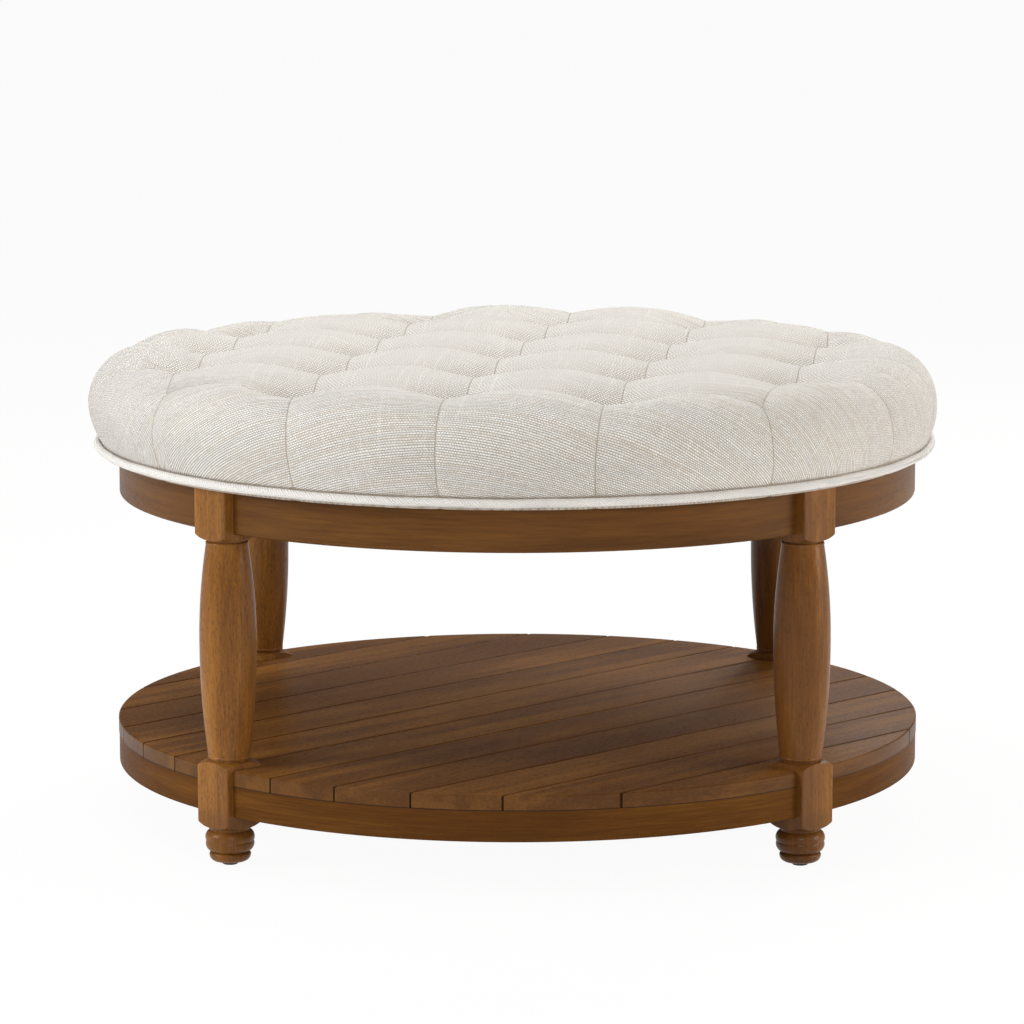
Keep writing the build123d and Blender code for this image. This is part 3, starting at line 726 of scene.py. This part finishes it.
def stuff(pad, places):
    """Runs the pressure as a short cloth simulation and leaves its shape in the mesh."""
    held = pad.vertex_groups.new(name="held")
    for index, (column, row, length, angle) in enumerate(places):
        by_seam = SEAM_HOLD * math.exp(-seam_gap(column, row) * TUFT_PITCH / SEAM_HOLD_SPREAD)
        by_tuft = TUFT_HOLD * math.exp(-tuft_gap(column, row) * TUFT_PITCH / TUFT_HOLD_SPREAD)
        by_welt = 1.0 - (sheet_length - length) / WELT_HOLD_LENGTH
        held.add([index], within_one(max(by_seam, by_tuft, by_welt)), "REPLACE")
    cloth = pad.modifiers.new("stuffing", "CLOTH")
    settings = cloth.settings
    settings.quality = 6
    settings.mass = 0.25
    settings.tension_stiffness = 18.0
    settings.compression_stiffness = 12.0
    settings.shear_stiffness = 6.0
    settings.bending_stiffness = 0.35
    settings.use_pressure = True
    settings.uniform_pressure_force = 3.0
    settings.vertex_group_mass = "held"
    settings.pin_stiffness = 1.0
    settings.effector_weights.gravity = 0.0
    cloth.collision_settings.use_collision = False
    cloth.collision_settings.use_self_collision = False
    cloth.point_cache.frame_start = 1
    cloth.point_cache.frame_end = STUFFING_FRAMES
    before = [vertex.co.copy() for vertex in pad.data.vertices]
    for number in range(1, STUFFING_FRAMES + 1):
        scene.frame_set(number)
    bpy.ops.object.select_all(action="DESELECT")
    pad.select_set(True)
    bpy.context.view_layer.objects.active = pad
    bpy.ops.object.modifier_apply(modifier=cloth.name)
    scene.frame_set(1)
    for vertex, start in zip(pad.data.vertices, before):
        move = vertex.co - start
        if move.length > STUFFING_CAP:
            vertex.co = start + move * (STUFFING_CAP / move.length)


stuff(cushion, sheet_places)

# one subdivision rounds the pillows, then the stitching line is pressed in along each seam
CREASE_DEPTH = 0.0013
CREASE_SPREAD = 0.0035
smoothing = cushion.modifiers.new("rounding", "SUBSURF")
smoothing.levels = 1
smoothing.render_levels = 1
bpy.ops.object.modifier_apply(modifier=smoothing.name)
normals = [vertex.normal.copy() for vertex in sheet.vertices]
stitched = {}
for loop in sheet.loops:
    stitched[loop.vertex_index] = tuple(sheet.uv_layers["seams"].data[loop.index].uv)
for vertex, normal in zip(sheet.vertices, normals):
    column, row = stitched[vertex.index]
    crease = CREASE_DEPTH * math.exp(-seam_gap(column, row) * TUFT_PITCH / CREASE_SPREAD)
    vertex.co -= normal * crease

# the hem: down behind the welt, in under the seat board, and back up round board and foam
HEM_GAP = 0.0001
HEM_TURN = 0.0010
HEM_WIDTH = 0.0495
HEM_SIDEWAYS_STEP = 0.01
FOAM_ROUND = 0.024
FOAM_ROUND_CORNER = 0.007
foam_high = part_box("foam_pad")[1]
hem_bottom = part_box("cushion_cover")[0][2] + HEM_GAP
inner = max(board_high[0], foam_high[0]) + HEM_GAP
hem_rings = [
    (WAIST_RADIUS - HEM_TURN, hem_bottom + HEM_TURN),
    (WAIST_RADIUS - 2.0 * HEM_TURN, hem_bottom),
    (WAIST_RADIUS - HEM_WIDTH, hem_bottom),
    (WAIST_RADIUS - HEM_WIDTH, board_low[2] - HEM_GAP),
    (inner, board_low[2] - HEM_GAP),
    (inner, foam_high[2] - FOAM_ROUND),
    (inner - FOAM_ROUND_CORNER, foam_high[2] - FOAM_ROUND_CORNER),
    (inner - FOAM_ROUND, foam_high[2] + HEM_GAP),
]
bpy.ops.object.mode_set(mode="EDIT")
bpy.ops.mesh.select_mode(type="EDGE")
bpy.ops.mesh.select_all(action="DESELECT")
bpy.ops.mesh.select_non_manifold()
ring_radius, ring_height, ring_lean = WAIST_RADIUS, WAIST_HEIGHT, WAIST_LEAN
for next_radius, next_height in hem_rings:
    # the first long step inwards takes the cover's sideways lean out again
    sideways = ring_lean if ring_radius - next_radius > HEM_SIDEWAYS_STEP else 0.0
    move = {"value": (sideways, 0.0, next_height - ring_height)}
    bpy.ops.mesh.extrude_region_move(TRANSFORM_OT_translate=move)
    ratio = next_radius / ring_radius
    bpy.ops.transform.resize(value=(ratio, ratio, 1.0), center_override=(0.0, 0.0, 0.0))
    ring_lean = (ring_lean - sideways) * ratio
    ring_radius, ring_height = next_radius, next_height
bpy.ops.mesh.extrude_region_move(TRANSFORM_OT_translate={"value": (0.0, 0.0, 0.0)})
bpy.ops.mesh.merge(type="CENTER")
bpy.ops.mesh.select_all(action="SELECT")
bpy.ops.mesh.normals_make_consistent(inside=False)
bpy.ops.mesh.select_all(action="DESELECT")
bpy.ops.object.mode_set(mode="OBJECT")
bpy.ops.object.shade_smooth()
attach(cushion, "root")
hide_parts("cushion_cover")

# the linen: plain-woven from uneven flax. Thick weft yarns stand out as ribs with slubs, fine
# warp crosses them, and each square is cut a little off the last one's line
LINEN_PALE = (0.982, 0.977, 0.960, 1.0)
LINEN_SHADE = (0.410, 0.345, 0.272, 1.0)
SEAM_BROWN = (0.33, 0.25, 0.17, 1.0)
RIB_SPACING = 0.0024
RIB_WANDER = 1.3
RIB_START = 0.25
BEAD_SPACING = 0.0031
BEAD_DRIFT = 7.0
BEAD_SHARE = 0.65
YARN_SHARE = 0.42
YARN_OFFSET = 2.0
RIB_LEVEL = 0.86
SLUB_RISE = 0.75
HEAVY_WARP_RISE = 0.10
WEAVE_RISE = 0.88
FUZZ_RISE = 0.22
WEAVE_DROP = 0.05
WEAVE_DEPTH = 0.00150
SEAM_LINE_START = 0.00024
SEAM_LINE_END = 0.00096
SEAM_STAIN = 0.62
SQUARE_SKEW = 0.16
COLUMN_NUMBER_STEP = 7.0
ROW_NUMBER_STEP = 13.0
TOP_SLUB_SHARE = 0.20
SLUB_FADE = 0.05
TUFT_SHADE = 0.36
TUFT_SHADE_REACH = 0.42
ROW_SHADE = 0.10
ROW_SHADE_REACH = 0.30
WEAVE_CONTRAST = 1.55
PATCH_CONTRAST = 0.08
TONE_DROP = 0.09
FOOT_LINE_START = 0.0045
FOOT_LINE_END = 0.0025


def uneven(weft, warp, along, across, layer=0.0, detail=2.0, roughness=0.55):
    """Noise over the cloth, with its scales along and across the weft."""
    at = weft.shading.vector(weft * along, warp * across, layer)
    return weft.shading.noise(at, scale=1.0, detail=detail, roughness=roughness)


def slub_weave(weft, warp, slubby=1.0):
    """Height, from 0 to 1, of plain-woven beads along ribs of uneven yarn."""
    wander = uneven(weft, warp, along=14.0, across=60.0)
    rib_line = warp / RIB_SPACING + wander * RIB_WANDER
    rib = (rib_line * (2.0 * math.pi)).wave().root()
    yarn_number = (rib_line + RIB_START).floor()
    yarn = weft.shading.random(yarn_number)
    slub = uneven(weft, yarn_number, along=80.0, across=3.7, roughness=0.6)
    thick = ((yarn * YARN_SHARE + slub).step(start=0.42, end=1.00) - 0.5) * slubby
    drift = uneven(weft, warp, along=45.0, across=45.0, layer=3.0) * BEAD_DRIFT + yarn * YARN_OFFSET
    bead = (weft / BEAD_SPACING * (2.0 * math.pi) + yarn_number * math.pi + drift).wave().root()
    heavy_warp = uneven(weft, warp, along=260.0, across=6.0, layer=7.0, detail=1.0)
    heavy_warp = heavy_warp.step(start=0.60, end=0.75)
    fuzz = uneven(weft, warp, along=520.0, across=520.0)
    raised = rib * (1.0 - BEAD_SHARE + bead * BEAD_SHARE)
    woven = raised * (RIB_LEVEL + thick * SLUB_RISE) + heavy_warp * HEAVY_WARP_RISE
    return woven * WEAVE_RISE + fuzz * FUZZ_RISE - WEAVE_DROP


def nearest(value):
    """The nearest whole number."""
    return (value + 0.5).floor()


linen_finish = Finish("slub_linen", Sheen_Weight=0.12, Sheen_Roughness=0.5, Specular_IOR_Level=0.2)
squares = linen_finish.node("ShaderNodeUVMap", {"uv_map": "seams"}, {})
threads = linen_finish.node("ShaderNodeUVMap", {"uv_map": "weave"}, {})

# distance to the nearest seam, worked out as seam_gap does
column = abs(squares.part("X"))
row = abs(squares.part("Y"))
far = column.at_least(row)
near = column.at_most(row)
outside = far.above(LAST_TUFT)
past_corner = near.above(LAST_TUFT)
inner_gap = abs(column - nearest(column)).at_most(abs(row - nearest(row)))
side_gap = abs(near - nearest(near).at_most(LAST_TUFT - 1))
corner_gap = (far - near) * math.sqrt(0.5)
outer_gap = side_gap.at_most(corner_gap).at_most(far - LAST_TUFT)
outer_gap = outer_gap * (1.0 - past_corner) + corner_gap * past_corner
gap = (inner_gap * (1.0 - outside) + outer_gap * outside) * TUFT_PITCH

# the weave of each square, more even on top of the cushion than round its side; the steps
# give each square a number of its own
x = threads.part("X")
y = threads.part("Y")
square = squares.part("X").floor() * COLUMN_NUMBER_STEP + squares.part("Y").floor() * ROW_NUMBER_STEP
skew = (linen_finish.random(square + 0.5) - 0.5) * SQUARE_SKEW
weft = x + y * skew
warp = y - x * skew + linen_finish.random(square + 3.5)
from_middle = radius_of(x, y)
round_side = from_middle.step(flat_radius - SLUB_FADE, flat_radius + SLUB_FADE)
slubby = round_side * (1.0 - TOP_SLUB_SHARE) + TOP_SLUB_SHARE
weave = slub_weave(weft, warp, slubby)
patch = uneven(weft, warp, along=5.0, across=22.0, detail=3.0)

# soft shade in the hollows, and thread along the seams and behind the welt
tuft_column = column - nearest(column).at_most(LAST_TUFT)
tuft_row = row - nearest(row).at_most(LAST_TUFT)
from_tuft = radius_of(tuft_column, tuft_row)
tufted = (1.0 - from_tuft.step(0.0, TUFT_SHADE_REACH)) * (1.0 - near.above(LAST_TUFT - HALF_SQUARE))
along_row = (1.0 - abs(tuft_row).step(0.0, ROW_SHADE_REACH)) * (1.0 - outside)
hollow = tufted * TUFT_SHADE + along_row * ROW_SHADE
tone = weave * WEAVE_CONTRAST + patch * PATCH_CONTRAST - TONE_DROP - hollow
tone = tone.at_least(0.0).at_most(1.0)
seam = 1.0 - gap.step(SEAM_LINE_START, SEAM_LINE_END)
seam = seam.at_least(from_middle.step(sheet_length - FOOT_LINE_START, sheet_length - FOOT_LINE_END))
colour = (seam * SEAM_STAIN).blend(tone.blend(LINEN_SHADE, LINEN_PALE), SEAM_BROWN)
linen_finish.feed(Base_Color=colour)
linen_finish.dull(weave, low=0.82, spread=0.12)
linen_finish.relief(weave * (1.0 - seam), WEAVE_DEPTH)
cushion.data.materials.append(linen_finish.material)

# Welt: a cord wrapped in a bias strip of the same linen, stitched round the foot of the cover.
# It wavers a little, and its two ends are joined at the back.
WELT_STEPS = 480
WELT_SIDES = 14
WELT_LEAN = 0.0030
WELT_WAVER = 0.0004
WELT_RISE_WAVES = ((17.0, 0.0, 1.0), (29.0, 1.0, 1.0), (53.0, 0.0, 0.6))
WELT_IN_WAVES = 23.0
WELT_CONTRAST = 0.45
WELT_TONE = 0.62
WELT_WEAVE_SHARE = 0.7
welt_low, welt_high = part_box("welt_cord")
welt_thick = (welt_high[2] - welt_low[2]) / 2
welt_middle = (welt_low[2] + welt_high[2]) / 2
welt_reach = welt_high[0] - welt_thick
rise_peak = sum(share for count, start, share in WELT_RISE_WAVES)
bpy.ops.object.select_all(action="DESELECT")
bpy.ops.mesh.primitive_torus_add(
    major_segments=WELT_STEPS,
    minor_segments=WELT_SIDES,
    major_radius=welt_reach,
    minor_radius=welt_thick,
    location=(0.0, 0.0, welt_middle),
)
welt = bpy.context.active_object
welt.name = "piped_welt"
bpy.ops.object.transform_apply(location=True, rotation=True, scale=True)
for vertex in welt.data.vertices:
    angle = math.atan2(vertex.co.y, vertex.co.x)
    level = math.hypot(vertex.co.x, vertex.co.y)
    rise = sum(share * math.sin(angle * count + start) for count, start, share in WELT_RISE_WAVES)
    ratio = (level + WELT_WAVER * math.cos(angle * WELT_IN_WAVES) - WELT_WAVER) / level
    vertex.co.x = vertex.co.x * ratio - WELT_LEAN
    vertex.co.y *= ratio
    vertex.co.z += WELT_WAVER * rise / rise_peak
bpy.ops.object.shade_smooth()
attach(welt, "root")
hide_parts("welt_cord")

welt_finish = Finish("bias_linen", Sheen_Weight=0.12, Sheen_Roughness=0.5, Specular_IOR_Level=0.2)
spot = welt_finish.place()
x = spot.part("X")
y = spot.part("Y")
around = angle_of(x, y) * welt_reach
over = angle_of(radius_of(x, y) - welt_reach, spot.part("Z") - welt_middle) * welt_thick
weft = (around - over) * math.sqrt(0.5)
warp = (around + over) * math.sqrt(0.5)
weave = slub_weave(weft, warp)
welt_tone = (weave * WELT_CONTRAST + WELT_TONE).at_least(0.0).at_most(1.0)
welt_finish.feed(Base_Color=welt_tone.blend(LINEN_SHADE, LINEN_PALE))
welt_finish.dull(weave, low=0.82, spread=0.12)
welt_finish.relief(weave, WEAVE_DEPTH * WELT_WEAVE_SHARE)
welt.data.materials.append(welt_finish.material)
